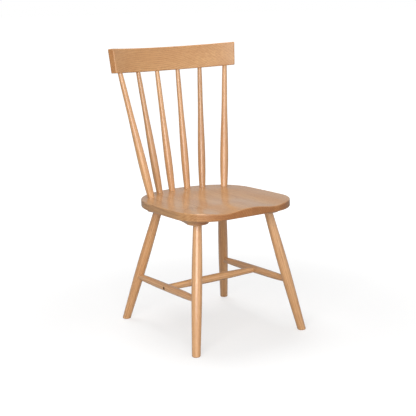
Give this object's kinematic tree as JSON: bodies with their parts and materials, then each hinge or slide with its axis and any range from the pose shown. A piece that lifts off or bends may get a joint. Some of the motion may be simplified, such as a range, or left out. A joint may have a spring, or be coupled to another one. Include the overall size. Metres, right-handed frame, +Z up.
{
  "type": "dining chair",
  "caption": "Spindle-back oak dining chair with a saddle seat, curved comb rail, splayed turned legs and an H-stretcher.",
  "frame": {"origin": "under the middle of the overall box, on the floor", "axes": "+Z up, -Y the way the sitter faces, +X across the width toward the right leg as seen from the front"},
  "size_m": [0.47, 0.4899, 0.89],
  "materials": {
    "seat": "clear satin lacquer over oak",
    "batten_left": "clear satin lacquer over oak",
    "batten_right": "clear satin lacquer over oak",
    "leg_front_left": "clear satin lacquer over oak",
    "leg_front_right": "clear satin lacquer over oak",
    "leg_back_left": "clear satin lacquer over oak",
    "leg_back_right": "clear satin lacquer over oak",
    "stretcher_left": "clear satin lacquer over oak",
    "stretcher_right": "clear satin lacquer over oak",
    "middle_stretcher": "clear satin lacquer over oak",
    "spindle_1": "clear satin lacquer over oak",
    "spindle_2": "clear satin lacquer over oak",
    "spindle_3": "clear satin lacquer over oak",
    "spindle_4": "clear satin lacquer over oak",
    "spindle_5": "clear satin lacquer over oak",
    "spindle_6": "clear satin lacquer over oak",
    "top_rail": "clear satin lacquer over oak",
    "stretcher_bolts": "dark zinc",
    "threaded_inserts": "plain brass",
    "batten_screws": "zinc"
  },
  "bodies": {
    "root": {"seat": "seat", "batten_left": "batten_left", "batten_right": "batten_right", "leg_front_left": "leg_front_left", "leg_front_right": "leg_front_right", "leg_back_left": "leg_back_left", "leg_back_right": "leg_back_right", "stretcher_left": "stretcher_left", "stretcher_right": "stretcher_right", "middle_stretcher": "middle_stretcher", "spindle_1": "spindle_1", "spindle_2": "spindle_2", "spindle_3": "spindle_3", "spindle_4": "spindle_4", "spindle_5": "spindle_5", "spindle_6": "spindle_6", "top_rail": "top_rail", "stretcher_bolts": "stretcher_bolts", "threaded_inserts": "threaded_inserts", "batten_screws": "batten_screws"}
  },
  "joints": []
}
